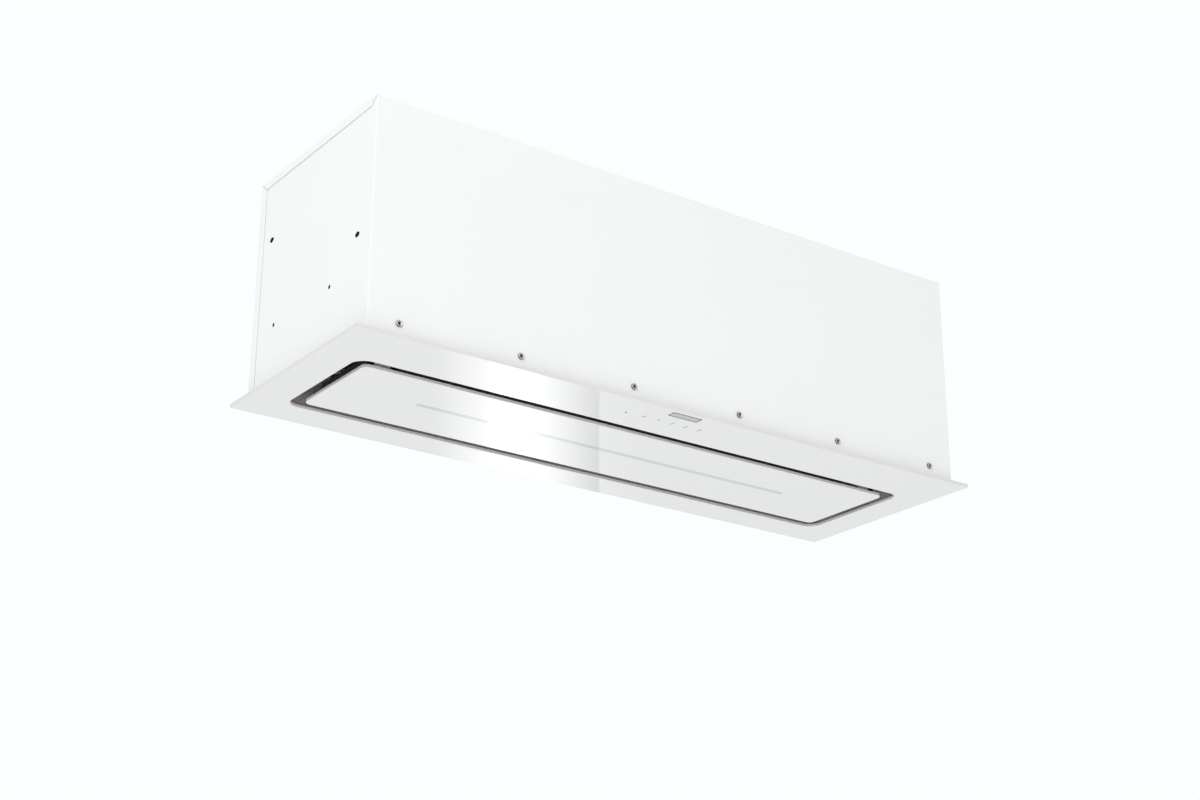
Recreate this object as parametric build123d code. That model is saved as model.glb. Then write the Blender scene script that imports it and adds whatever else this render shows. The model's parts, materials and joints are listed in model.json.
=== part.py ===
from build123d import *
from math import atan2, cos, degrees, hypot, radians, sin
import os

# Ceiling range hood: a sheet-steel casing that disappears into the ceiling, a glass frame that lies
# against the ceiling, and a hinged glass panel with a suction gap all round it.
# Millimetres. Origin: centre of the glass frame's upper face, in the plane of the ceiling.
# +Z up into the ceiling, -Y the front, where the touch keys are.

# ---- Glass frame and its cut-out ----
frame_length = 900.0
frame_depth = 300.0
glass = 4.0
frame_corner = 2.5
border_ends = 47.0
border_front = 78.5
border_rear = 47.5
cutout_corner = 18.0
glass_edge_chamfer = 0.6

# ---- Centre panel ----
suction_gap = 16.0
panel_corner = 8.0
tray_inset = 8.0
tray_sheet = 1.0
tray_lip = 13.0

# ---- Light strip in the centre panel ----
light_length = 556.0
light_width = 8.0
light_offset = -3.5          # from the panel's centre line, towards the front
light_fit = 0.2
light_shoulder = 2.0          # rim of the opal bar that rests on the tray
light_shoulder_height = 1.5
profile_width = 18.0
profile_height = 10.0
profile_wall = 1.2
profile_past_light = 4.0
light_board = 1.6

# ---- Casing sheets ----
overhang_ends = 17.0
overhang_sides = 12.0
casing_sheet = 1.0
casing_bend = 1.5            # outside radius
small_bend = 0.5             # inside radius of the small folded strips
top_flange = 10.0
rear_flange = 12.0
flange_nose = 13.0           # slanting front end of the top flange, along Y
top_return = 14.0
mitre_gap = 0.6
seam_gap = 0.4               # air between a folded flange and the end wall
hanging_hole = 9.0
hanging_from_end = 53.0      # hanging holes from the casing's ends
hanging_from_side = 38.0     # and from its front and rear
# holes in both end walls: diameter, distance from the sheet named, height above the ceiling plane
wall_holes_rear = ((6.5, 33.0, 199.0), (4.0, 52.0, 83.0))
wall_holes_front = ((6.5, 31.0, 124.0), (4.0, 90.0, 82.5))

# ---- Carrier frame: the folded collar that the glass is bonded to ----
carrier_sheet = 1.2
carrier_fit = 0.2
carrier_ledge = 2.0
outer_upstand = 34.0
inner_upstand = 48.0

# ---- Casing screws ----
casing_screw = 4.0
casing_screw_head = 8.6
casing_screw_head_height = 2.6
casing_screw_length = 8.0
casing_screw_count = 6
casing_screw_margin = 40.5   # from the casing's end to the first screw
screw_hole_play = 0.1
head_sides = 10              # small pieces that repeat are many-sided, not round
shank_sides = 6
round_sides = 32             # and so are hidden large rounds, such as the wheel's rings
pin_sides = 20

# ---- Grease filters and the deck above them ----
deck_sheet = 1.2
deck_fit = 0.2
filter_play = 2.0
filter_seat = 0.3
filter_height = 9.0
filter_sheet = 0.8
filter_lip = 11.0
mesh_height = 5.0
mesh_play = 0.2
mesh_margin = 7.0
mesh_columns = 5
mesh_rows = 3
mesh_strand = 7.0
filter_tab_width = 12.0
filter_tab_reach = 4.5
filter_tab_spread = 120.0
slot_play = 0.4

# ---- Filter latches ----
latch_width = 44.0
latch_depth = 26.0
latch_height = 3.2
latch_tongue_width = 18.0
latch_tongue_height = 2.4
latch_reach = 5.0
latch_grip_height = 6.0
latch_grip_inset = 3.0
latch_edge = 1.0
guide_sheet = 1.0
guide_play = 0.25
guide_wing = 9.0

# ---- Panel hinges ----
hinge_from_end = 27.0        # from the panel's end to a hinge's middle
hinge_behind_edge = 5.8      # pivot behind the front edge of the panel glass
hinge_height = 12.0          # pivot above the upper face of the glass
hinge_pin = 4.0
hinge_play = 0.05
hinge_knuckle = 7.0
hinge_arm_width = 20.0
hinge_fork_width = 28.0
hinge_sheet = 1.5
hinge_ear = 5.0              # radius of the fork's ears about the pin
hinge_rise = 12.0            # fork's back above the pivot
hinge_back = 14.0            # fork's foot down the carrier wall
hinge_foot = 26.0            # arm's foot along the tray
hinge_notch = 5.0            # free width beside the fork, cut in the tray's lip

# ---- Magnet catches ----
catch_length = 22.0
catch_width = 24.0
catch_height = 14.0
catch_from_rear = 8.0        # from the panel's rear edge
catch_air = 0.3
catch_edge = 4.0
strike_sheet = 1.2
strike_play = 2.0
strike_inset = 2.0           # strike narrower than the catch, at each side

# ---- Blower ----
impeller_radius = 68.0
blade_depth = 12.0
blade_sheet = 1.0
blade_count = 20             # on each side of the wheel's disc
blade_bend = (5.5, 1.0)      # a blade's fold from its root: outwards and ahead
blade_lean = 5.5             # a blade's tip ahead of its root
blade_ring_inset = 0.4       # a blade's tip inside the rim of the end ring
wheel_half_width = 54.0
wheel_disc = 1.6
wheel_ring = 3.0
wheel_side_gap = 6.0
tongue_gap = 5.0
tongue_angle = 60.0
tongue_radius = 4.0
scroll_growth = 11.0         # more radius with each quarter turn
scroll_wall = 2.0
scroll_lip = 4.0             # lugs for the clips stand out this far
scroll_lip_height = 2.5
scroll_lug = 16.0
clip_angles = (110.0, 165.0, 225.0, 300.0)
scroll_side_gap = 1.5
scroll_floor_gap = 4.0
outlet_rise = 123.3          # shaft to the underside of the top cover
inlet_gap = 2.0
inlet_behind_blades = 1.0    # inlet wider than the circle of the blades' roots
scroll_foot = 12.0
clip_sheet = 0.8
clip_length = 12.0
clip_grip = 3.5              # how far a clip reaches over the rim

# ---- Motor ----
motor_radius = 41.0
motor_edge = 5.0
motor_nose = 4.0
motor_gap = 3.0              # between motor and impeller disc
shaft_in_motor = 44.0
shaft_end_gap = 3.0
shaft_past_hub = 4.0
shaft_radius = 4.0
shaft_play = 0.05
hub_radius = 12.0
hub_length = 16.0
motor_arm_width = 16.0
motor_arm_sheet = 2.0
motor_arm_count = 4
bracket_inset = 6.0          # spider's plate inside the motor's rim
grommet_radius = 7.0
grommet_height = 5.0
grommet_margin = 2.0         # from the inlet's rim to a grommet

# ---- Outlet spigot and back-draught flaps ----
spigot_radius = 75.0
spigot_wall = 2.0
spigot_height = 44.0
spigot_flange = 13.0
spigot_flange_sheet = 3.0
spigot_screw = 4.0
spigot_screw_head = 7.6
spigot_screw_head_height = 2.4
spigot_screw_reach = 3.0     # below the top cover
flap_ledge = 3.0
flap_ledge_sheet = 2.0
flap_ledge_height = 12.0     # ledge above the spigot's foot
flap_sheet = 1.6
flap_seat = 0.3
flap_play = 1.5
flap_gap = 4.0               # from the pin's axis to a flap's straight edge
flap_pin = 3.0
flap_knuckle = 6.0
flap_knuckle_length = 12.0
flap_knuckle_overlap = 1.0
front_knuckles = 44.0        # each side of the middle
rear_knuckles = 24.0
flap_boss = 5.0
flap_boss_depth = 5.0

# ---- Control box, lamp driver, cable entry ----
control_from_end = 133.0     # from the casing's right end to the control box's middle
control_y = -10.0
control_length = 170.0
control_depth = 110.0
control_height = 52.0
control_wall = 2.0
board_sheet = 1.6
board_standoff = 5.0
board_margin = 4.0           # from the board's edge to the box
pillar_radius = 3.0
pillar_inset = 6.0           # from the board's edge to a pillar
gland_bay = 62.0             # length of the box beside the board, kept free for the cable entry
terminal_length = 40.0
terminal_depth = 18.0
terminal_height = 14.0
terminal_ways = 6
terminal_inset = 2.0
capacitor_radius = 12.0
capacitor_length = 48.0
driver_from_end = 113.0      # from the casing's left end to the lamp driver's middle
driver_y = -10.0
driver_length = 120.0
driver_depth = 38.0
driver_height = 26.0
driver_ear = 12.0
driver_ear_sheet = 3.0
gland_radius = 11.0
gland_thread = 8.0
gland_dome = 9.0
gland_dome_edge = 2.5
gland_hexagon = 6.0          # height of the hexagon
gland_bore = 4.5
gland_height = 18.0
gland_nut = 5.0
gland_side = 40.0            # gland's place, from the control box's centre along X

# ---- Touch keys ----
touch_x = -17.0
touch_behind_edge = 38.0     # centre line of the keys, from the frame's front edge
touch_length = 130.0
touch_depth = 22.0
touch_frame = 4.0
touch_cap_height = 10.0
touch_cap_wall = 2.0
touch_part_inset = 6.0       # from the board's ends to the chip and the plug
touch_part = 12.0            # length of either
touch_part_width = 10.0
touch_chip_height = 1.4
touch_plug_height = 5.0

# ---- Places that follow from the sizes ----
casing_x = frame_length / 2 - overhang_ends
casing_y = frame_depth / 2 - overhang_sides
wall_x = casing_x - casing_sheet - seam_gap
inner_x = wall_x - casing_sheet
inner_y = casing_y - casing_sheet

cut_x = frame_length / 2 - border_ends
cut_front = border_front - frame_depth / 2
cut_rear = frame_depth / 2 - border_rear
panel_x = cut_x - suction_gap
panel_front = cut_front + suction_gap
panel_rear = cut_rear - suction_gap
panel_y = (panel_front + panel_rear) / 2
tray_x = panel_x - tray_inset
tray_front = panel_front + tray_inset
tray_rear = panel_rear - tray_inset
light_y = panel_y + light_offset

bay_x = cut_x + carrier_ledge
bay_front = cut_front - carrier_ledge
bay_rear = cut_rear + carrier_ledge
carrier_x = inner_x - carrier_fit
carrier_y = inner_y - carrier_fit
screw_z = outer_upstand / 2
screw_pitch = 2 * (casing_x - casing_screw_margin) / (casing_screw_count - 1)
screw_xs = [casing_screw_margin - casing_x + i * screw_pitch for i in range(casing_screw_count)]

filter_length = bay_x - 1.5 * filter_play      # two cassettes, with play at both ends and between
filter_x = (filter_length + filter_play) / 2
filter_front = bay_front + filter_play
filter_rear = bay_rear - filter_play
filter_top = inner_upstand - filter_seat
filter_bottom = filter_top - filter_height
tab_z = filter_bottom + filter_height / 2
latch_top = filter_bottom - guide_play
latch_bottom = latch_top - latch_height
latch_z = (latch_top + latch_bottom) / 2
latch_y = filter_front + filter_sheet

hinge_x = panel_x - hinge_from_end
pivot_y = panel_front + hinge_behind_edge
pivot_z = hinge_height
strike_top = tray_lip + strike_sheet
catch_y = panel_rear - catch_from_rear - catch_width / 2

# The scroll is drawn with four quarter arcs whose centres stand at the corners of a small square.
arc_corners = ((-1, 1), (-1, -1), (1, -1), (1, 1))
spiral_start = impeller_radius + tongue_gap
spiral_half = scroll_growth / 2
spiral_left = spiral_half + spiral_start + scroll_growth
spiral_low = spiral_half + spiral_start + 2 * scroll_growth
spiral_right = spiral_half + spiral_start + 3 * scroll_growth
tongue_u = spiral_start * cos(radians(tongue_angle)) - spiral_half
scroll_rim = scroll_wall + scroll_lip
deck_top = inner_upstand + deck_sheet
shaft_y = scroll_side_gap + scroll_rim + spiral_left - inner_y
shaft_z = deck_top + scroll_floor_gap + scroll_rim + spiral_low
casing_height = shaft_z + outlet_rise + casing_sheet
ceiling_z = casing_height - casing_sheet      # underside of the top cover
scroll_half = wheel_half_width + wheel_side_gap
scroll_outside = scroll_half + scroll_wall
inlet_radius = impeller_radius - blade_depth + inlet_behind_blades
inlet_bell = wheel_side_gap + scroll_wall - inlet_gap
inlet_mouth = inlet_radius + inlet_bell
bracket_x = scroll_outside + grommet_height
motor_front = wheel_disc / 2 + motor_gap
grommet_circle = inlet_mouth + grommet_radius + grommet_margin

spigot_y = shaft_y + (tongue_u + spiral_right) / 2
spigot_bore = spigot_radius - spigot_wall
ledge_z = casing_height + flap_ledge_height
flap_z = ledge_z + flap_seat
flap_pin_z = flap_z + flap_sheet / 2
flap_pin_reach = spigot_bore + spigot_wall / 2

touch_y = touch_behind_edge - frame_depth / 2
driver_x = driver_from_end - casing_x
control_x = casing_x - control_from_end
control_top = ceiling_z
control_bottom = ceiling_z - control_height
board_length = control_length - 2 * control_wall - board_margin - gland_bay
board_x = control_x - control_length / 2 + control_wall + board_margin + board_length / 2
board_z = control_top - control_wall - board_standoff - board_sheet      # the board's underside
gland_x = control_x + gland_side

past = 1.0      # how far a cutting body runs past the face it opens


def slab(x0, x1, y0, y1, z0, z1, corner=0.0):
    """Upright block between the given limits, its vertical edges rounded by corner."""
    outline = RectangleRounded(x1 - x0, y1 - y0, corner) if corner else Rectangle(x1 - x0, y1 - y0)
    return extrude(Pos((x0 + x1) / 2, (y0 + y1) / 2, z0) * outline, z1 - z0)


def bar(radius, length, sides=0):
    """Bar standing on the XY plane: round, or many-sided where sides are given."""
    outline = RegularPolygon(radius, sides) if sides else Circle(radius)
    return extrude(outline, length)


def pin_hole(radius, length):
    """Many-sided hole whose flats touch a round pin of that radius."""
    return extrude(RegularPolygon(radius, head_sides, major_radius=False), length)


def along_x(radius, x0, x1, y, z, sides=0):
    return Pos(x0, y, z) * Rot(0, 90, 0) * bar(radius, x1 - x0, sides)


def along_y(radius, y0, y1, x, z, sides=0):
    return Pos(x, y0, z) * Rot(-90, 0, 0) * bar(radius, y1 - y0, sides)


def upright(radius, z0, z1, x, y, sides=0):
    return Pos(x, y, z0) * bar(radius, z1 - z0, sides)


def folded(points, radius, sheet, width, side):
    """Sheet bent along a path in the XY plane, standing on that plane as high as its width."""
    path = FilletPolyline(*points, radius=radius)
    strip = make_brake_formed(sheet, width, path, side)
    return Pos(0, 0, -strip.bounding_box().min.Z) * strip


def across(x, part):
    """Turn a part drawn as (Y, Z) with its width along X into place, starting at x."""
    return Plane.YZ.offset(x) * part


def about_shaft(x, part):
    """The same for a part of the blower, drawn about the shaft."""
    return Pos(0, shaft_y, shaft_z) * across(x, part)


def one(*pieces):
    """Join pieces of one solid."""
    joined = Part() + list(pieces)
    return joined.clean()


def mirrored(part):
    """The other end's copy."""
    return mirror(part, about=Plane.YZ)


# ---- Glass ----
def lower_outline(part, z):
    """Edges of a pane that lie in its lower face."""
    return part.edges().filter_by(lambda edge: abs(edge.center().Z - z) < 0.01)


def glass_frame():
    pane = slab(-frame_length / 2, frame_length / 2, -frame_depth / 2, frame_depth / 2,
                -glass, 0, frame_corner)
    pane -= slab(-cut_x, cut_x, cut_front, cut_rear, -glass, 0, cutout_corner)
    return chamfer(lower_outline(pane, -glass), glass_edge_chamfer)


def centre_glass():
    pane = slab(-panel_x, panel_x, panel_front, panel_rear, -glass, 0, panel_corner)
    return chamfer(lower_outline(pane, -glass), glass_edge_chamfer)


# ---- Casing ----
def casing_screw_holes(y0, y1):
    radius = casing_screw / 2 + screw_hole_play
    return [along_y(radius, y0, y1, x, screw_z, shank_sides) for x in screw_xs]


def front_casing():
    """Front and both end walls, one sheet bent twice, with a return along the top of the front."""
    rear_end = inner_y - casing_bend
    points = [(-wall_x, rear_end), (-wall_x, -casing_y), (wall_x, -casing_y), (wall_x, rear_end)]
    walls = folded(points, casing_bend, casing_sheet, ceiling_z, Side.LEFT)
    top = slab(casing_bend - wall_x, wall_x - casing_bend, -inner_y, top_return - casing_y,
               ceiling_z - casing_sheet, ceiling_z)
    holes = casing_screw_holes(-casing_y - past, -inner_y + past)
    places = [(diameter, casing_y - inward, height) for diameter, inward, height in wall_holes_rear]
    places += [(diameter, inward - casing_y, height) for diameter, inward, height in wall_holes_front]
    for diameter, y, height in places:
        holes.append(along_x(diameter / 2, -wall_x - past, wall_x + past, y, height, head_sides))
    return one(walls, top) - holes


def end_flange():
    """Folded edge of the cover outside an end wall: a strip along the top and one down the rear."""
    top = casing_height
    low = casing_height - top_flange
    side = casing_y - rear_flange
    outline = Polyline((flange_nose - casing_y, low), (side, low), (side, 0), (casing_y, 0),
                       (casing_y, top), (-casing_y, top), close=True)
    strip = extrude(make_face(outline), casing_sheet)
    turn = Rot(0, 0, degrees(atan2(top_flange, rear_flange)))
    middle = Pos(side + rear_flange / 2, low + top_flange / 2)
    mitre = middle * turn * Box(2 * hypot(top_flange, rear_flange), mitre_gap, 4 * casing_sheet)
    return strip - mitre


def top_rear_cover():
    """Top and rear, one sheet bent once, with end flanges that grip the end walls from outside."""
    points = [(-casing_y, casing_height), (casing_y, casing_height), (casing_y, 0)]
    sheet = across(-casing_x, folded(points, casing_bend, casing_sheet, 2 * casing_x, Side.RIGHT))
    left = across(-casing_x, end_flange())
    cover = one(sheet, left, mirrored(left))
    low = ceiling_z - past
    high = casing_height + past
    cover -= slab(-scroll_half, scroll_half, shaft_y + tongue_u, shaft_y + spiral_right, low, high)
    hanging_x = casing_x - hanging_from_end
    hanging_y = casing_y - hanging_from_side
    for x in (-hanging_x, hanging_x):
        for y in (-hanging_y, hanging_y):
            cover -= upright(hanging_hole / 2, low, high, x, y)
    for x, y in spigot_screw_places():
        cover -= upright(spigot_screw / 2 + screw_hole_play, low, high, x, y, shank_sides)
    cover -= upright(gland_thread, low, high, gland_x, control_y, head_sides)
    return cover - casing_screw_holes(inner_y - past, casing_y + past)


def casing_screws():
    """Pan-head screws that hold the casing to the carrier frame, front and rear."""
    outer = -casing_y - casing_screw_head_height
    screws = []
    for x in screw_xs:
        head = along_y(casing_screw_head / 2, outer, -casing_y, x, screw_z, head_sides)
        tip = casing_screw_length - casing_y
        shank = along_y(casing_screw / 2, -casing_y, tip, x, screw_z, shank_sides)
        front = one(head, shank)
        screws += [front, mirror(front, about=Plane.XZ)]
    return screws


# ---- Carrier frame ----
def carrier_frame():
    """Folded collar: outer upstand for the casing screws, inner upstand round the filter bay."""
    t = carrier_sheet
    tray = slab(-carrier_x, carrier_x, -carrier_y, carrier_y, 0, outer_upstand)
    tray -= slab(t - carrier_x, carrier_x - t, t - carrier_y, carrier_y - t, t, outer_upstand)
    collar = slab(-bay_x - t, bay_x + t, bay_front - t, bay_rear + t, 0, inner_upstand)
    bay = slab(-bay_x, bay_x, bay_front, bay_rear, 0, inner_upstand)
    frame = one(tray, collar) - bay
    frame -= touch_window()
    frame -= casing_screw_holes(-carrier_y - past, t - carrier_y + past)
    frame -= casing_screw_holes(carrier_y - t - past, carrier_y + past)
    for side in (-1, 1):
        half = latch_tongue_width / 2 + slot_play
        rise = latch_tongue_height / 2 + slot_play
        x = side * filter_x
        frame -= slab(x - half, x + half, bay_front - t - past, bay_front + past,
                      latch_z - rise, latch_z + rise)
        half = filter_tab_width / 2 + slot_play
        rise = filter_sheet / 2 + slot_play
        for x in tab_places(side):
            frame -= slab(x - half, x + half, bay_rear - past, bay_rear + t + past,
                          tab_z - rise, tab_z + rise)
    return frame


def touch_window():
    x = touch_length / 2 + touch_frame / 2
    y = touch_depth / 2 + touch_frame / 2
    return slab(touch_x - x, touch_x + x, touch_y - y, touch_y + y, 0, carrier_sheet)


# ---- Filters ----
def tab_places(side):
    centre = side * filter_x
    return (centre - filter_tab_spread / 2, centre + filter_tab_spread / 2)


def filter_block(side, inset, z0, z1):
    centre = side * filter_x
    half = filter_length / 2 - inset
    return slab(centre - half, centre + half, filter_front + inset, filter_rear - inset, z0, z1)


def filter_frame(side):
    """Channel folded round the cassette, with two tabs that hook into the rear of the collar."""
    t = filter_sheet
    ring = filter_block(side, 0, filter_bottom, filter_top)
    ring -= filter_block(side, t, filter_bottom + t, filter_top - t)
    ring -= filter_block(side, filter_lip, filter_bottom, filter_top)
    tab_end = bay_rear + carrier_sheet + filter_tab_reach - filter_play
    half = filter_tab_width / 2
    tabs = [slab(x - half, x + half, filter_rear - t, tab_end, tab_z - t / 2, tab_z + t / 2)
            for x in tab_places(side)]
    return one(ring, *tabs)


def filter_mesh(side):
    """Expanded-metal pack: a pad with a grid of diamond openings."""
    inset = filter_sheet + mesh_play
    low = filter_bottom + filter_sheet
    pad = filter_block(side, inset, low, low + mesh_height)
    net_x = filter_length - 2 * (filter_lip + mesh_margin)
    net_y = filter_rear - filter_front - 2 * (filter_lip + mesh_margin)
    pitch_x = net_x / mesh_columns
    pitch_y = net_y / mesh_rows
    half_x = (pitch_x - mesh_strand) / 2
    half_y = (pitch_y - mesh_strand) / 2
    diamond = make_face(Polyline((half_x, 0), (0, half_y), (-half_x, 0), (0, -half_y), close=True))
    centre = Pos(side * filter_x, (filter_front + filter_rear) / 2, low)
    grid = [centre * place * diamond for place in GridLocations(pitch_x, pitch_y, mesh_columns, mesh_rows)]
    return pad - extrude(Sketch() + grid, mesh_height)


def latch_guide(side):
    """Hat-shaped strap under the cassette's front edge that carries the sliding latch."""
    half = latch_width / 2 + guide_play
    drop = latch_height + 2 * guide_play
    t = guide_sheet
    x = side * filter_x
    front = filter_front + filter_sheet
    rear = filter_front + filter_lip - filter_sheet
    low = filter_bottom - drop
    hat = slab(x - half - t, x + half + t, front, rear, low - t, filter_bottom)
    wing = half + guide_wing
    wings = slab(x - wing, x + wing, front, rear, filter_bottom - t, filter_bottom)
    return one(hat, wings) - slab(x - half, x + half, front, rear, low, filter_bottom)


def filter_latch(side):
    """Sliding latch with a finger grip; its tongue passes through the collar's front wall."""
    x = side * filter_x
    half = latch_width / 2
    rear = latch_y + latch_depth
    plate = slab(x - half, x + half, latch_y, rear, latch_bottom, latch_top)
    tongue_half = latch_tongue_width / 2
    rise = latch_tongue_height / 2
    tongue = slab(x - tongue_half, x + tongue_half, bay_front - latch_reach, latch_y,
                  latch_z - rise, latch_z + rise)
    half -= latch_grip_inset
    grip = slab(x - half, x + half, rear - latch_height, rear, latch_bottom - latch_grip_height, latch_bottom)
    grip = chamfer(grip.edges().filter_by(Axis.X).group_by(Axis.Z)[0], latch_edge)
    return one(plate, tongue, grip)


def filter_deck():
    """Shallow inverted tray that closes the blower chamber and frames the two filter openings."""
    x = inner_x - deck_fit
    y = inner_y - deck_fit
    t = deck_sheet
    deck = slab(-x, x, -y, y, outer_upstand, deck_top)
    deck -= slab(t - x, x - t, t - y, y - t, outer_upstand, inner_upstand)
    for side in (-1, 1):
        deck -= filter_block(side, filter_lip, inner_upstand, deck_top)
    return deck


# ---- Centre panel ----
def panel_tray():
    """Steel pan bonded behind the centre glass."""
    t = tray_sheet
    tray = slab(-tray_x, tray_x, tray_front, tray_rear, 0, tray_lip)
    tray -= slab(t - tray_x, tray_x - t, tray_front + t, tray_rear - t, t, tray_lip)
    half = light_length / 2 + light_fit
    wide = light_width / 2 + light_fit
    tray -= slab(-half, half, light_y - wide, light_y + wide, 0, t)
    notch = hinge_fork_width / 2 + hinge_notch
    for x in (-hinge_x, hinge_x):
        tray -= slab(x - notch, x + notch, tray_front - past, tray_front + t, t, tray_lip)
    return tray


def led_diffuser():
    """Opal bar in the tray's slot, with a shoulder that rests on the tray."""
    half = light_length / 2
    wide = light_width / 2
    bar_in_slot = slab(-half, half, light_y - wide, light_y + wide, 0, tray_sheet)
    half += light_shoulder
    wide += light_shoulder
    top = tray_sheet + light_shoulder_height
    return one(bar_in_slot, slab(-half, half, light_y - wide, light_y + wide, tray_sheet, top))


def led_profile():
    """Aluminium channel over the light slot, open downwards."""
    half = light_length / 2 + profile_past_light
    wide = profile_width / 2
    top = tray_sheet + profile_height
    channel = slab(-half, half, light_y - wide, light_y + wide, tray_sheet, top)
    inside = wide - profile_wall
    return channel - slab(-half, half, light_y - inside, light_y + inside, tray_sheet, top - profile_wall)


def led_board():
    top = tray_sheet + profile_height - profile_wall
    half = light_length / 2
    wide = profile_width / 2 - profile_wall - light_fit
    return slab(-half, half, light_y - wide, light_y + wide, top - light_board, top)


# ---- Hinges ----
def hinge_bracket():
    """Fork on the collar's front wall, with two ears round the pin; drawn about the pivot."""
    wall = bay_front - pivot_y
    rise = hinge_rise + hinge_sheet
    points = [(wall, rise - hinge_back), (wall, rise), (hinge_ear, rise)]
    strap = folded(points, hinge_sheet + small_bend, hinge_sheet, hinge_fork_width, Side.RIGHT)
    tall = hinge_rise + hinge_ear
    ear_face = Pos(0, hinge_rise - tall / 2) * Rectangle(2 * hinge_ear, tall)
    ear_face = chamfer(ear_face.vertices().group_by(Axis.Y)[0], hinge_ear / 2)
    ear = extrude(ear_face, hinge_sheet) - pin_hole(hinge_pin / 2, hinge_sheet)
    fork = one(strap, ear, Pos(0, 0, hinge_fork_width - hinge_sheet) * ear)
    return Pos(0, pivot_y, pivot_z) * across(hinge_x - hinge_fork_width / 2, fork)


def hinge_arm():
    """Foot on the tray that rises to a knuckle round the pin; drawn about the pivot."""
    outside = hinge_knuckle / 2
    riser = outside - hinge_sheet
    foot = tray_sheet - hinge_height
    points = [(hinge_foot, foot), (riser, foot), (riser, 0)]
    strap = folded(points, hinge_sheet + small_bend, hinge_sheet, hinge_arm_width, Side.RIGHT)
    knuckle = bar(outside, hinge_arm_width, head_sides)
    arm = one(strap, knuckle) - pin_hole(hinge_pin / 2 + hinge_play, hinge_arm_width)
    return Pos(0, pivot_y, pivot_z) * across(hinge_x - hinge_arm_width / 2, arm)


def hinge_pins():
    """Headless pins, pressed into the forks."""
    half = hinge_fork_width / 2 + hinge_sheet
    pin = along_x(hinge_pin / 2, hinge_x - half, hinge_x + half, pivot_y, pivot_z, pin_sides)
    return [pin, mirrored(pin)]


# ---- Catches ----
def strike_plate():
    """Steel angle on the tray's end lip that the magnet holds."""
    points = [(tray_x, 2 * tray_sheet), (tray_x, strike_top), (cut_x - strike_play, strike_top)]
    width = catch_width - 2 * strike_inset
    angle = folded(points, strike_sheet + small_bend, strike_sheet, width, Side.RIGHT)
    return Pos(0, catch_y + width / 2, 0) * Rot(90, 0, 0) * angle


def magnet_catch():
    """Magnet in its plastic case, on the collar's end wall, above the strike plate."""
    low = strike_top + catch_air
    case = slab(bay_x - catch_length, bay_x, catch_y - catch_width / 2, catch_y + catch_width / 2,
                low, low + catch_height)
    front = case.edges().filter_by(Axis.Y).group_by(Axis.X)[0].sort_by(Axis.Z)[-1]
    return chamfer(front, catch_edge)


# ---- Blower: drawn as (Y, Z) about the shaft, with its width along X ----
def quarter_arc(step):
    """Centre and radius of the scroll's arc in that quarter of a turn."""
    cu, cv = arc_corners[step]
    return (cu * spiral_half, cv * spiral_half), spiral_start + step * scroll_growth


def scroll_outline():
    """Air space of the scroll: four quarter arcs, then straight walls up to the outlet."""
    arcs = []
    for step in range(4):
        start = max(tongue_angle, 90 * step)
        arcs.append(CenterArc(*quarter_arc(step), start, 90 * (step + 1) - start))
    tongue_v = spiral_half + spiral_start * sin(radians(tongue_angle))
    walls = Polyline((spiral_right, spiral_half), (spiral_right, outlet_rise), (tongue_u, outlet_rise),
                     (tongue_u, tongue_v))
    face = make_face(Curve() + arcs + walls)
    tip = face.vertices().sort_by_distance((tongue_u, tongue_v, 0))[0]
    return fillet(tip, tongue_radius)


def lug_places():
    """Each clip's place about the shaft, and the radius of its lug's outer end there."""
    for angle in clip_angles:
        centre, radius = quarter_arc(int(angle // 90))
        yield Pos(*centre) * Rot(0, 0, angle), radius + scroll_rim


def scroll_half_shell(side):
    """One half of the scroll with its lugs, foot and inlet cone; side -1 carries the motor."""
    inside = scroll_outline()
    outside = offset(inside, scroll_wall, kind=Kind.INTERSECTION)
    shell = extrude(outside, scroll_outside)
    margin = scroll_wall + scroll_foot
    foot_low = outlet_rise - scroll_lip_height
    foot = slab(tongue_u - margin, spiral_right + margin, foot_low, outlet_rise, 0,
                scroll_outside + scroll_foot)
    half_lug = scroll_lug / 2
    lugs = [place * slab(rim - scroll_rim, rim, -half_lug, half_lug, 0, scroll_lip_height)
            for place, rim in lug_places()]
    shell = one(shell, foot, *lugs)
    reach = 2 * spiral_right
    shell -= slab(-reach, reach, outlet_rise, 2 * outlet_rise, -past, 2 * scroll_outside)
    shell -= extrude(inside, scroll_half)
    shell -= slab(tongue_u, spiral_right, foot_low, outlet_rise, 0, scroll_half)
    shell -= bar(inlet_mouth, 2 * scroll_outside, round_sides)
    half = about_shaft(0, one(shell, inlet_cone()))
    return half if side > 0 else mirrored(half)


def inlet_cone():
    """Tapered ring that leads the air into the wheel."""
    narrow = scroll_outside - inlet_bell
    rings = []
    for radius in (inlet_radius + scroll_wall, inlet_radius):
        mouth = Pos(0, 0, scroll_outside) * RegularPolygon(radius + inlet_bell, round_sides)
        throat = Pos(0, 0, narrow) * RegularPolygon(radius, round_sides)
        rings.append(loft([throat, mouth]))
    outer, inner = rings
    return (outer - inner) & Pos(0, 0, narrow) * bar(inlet_mouth + scroll_wall, inlet_bell, round_sides)


def scroll_clips():
    """Spring clips over the two halves' lugs."""
    clips = []
    for place, rim in lug_places():
        height = 2 * (scroll_lip_height + clip_sheet)
        saddle = Box(clip_grip + clip_sheet, clip_length, height)
        hollow = Pos(-clip_sheet / 2, 0, 0) * Box(clip_grip, clip_length, 2 * scroll_lip_height)
        clips.append(about_shaft(0, place * Pos(rim + (clip_sheet - clip_grip) / 2, 0) * (saddle - hollow)))
    return clips


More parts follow.
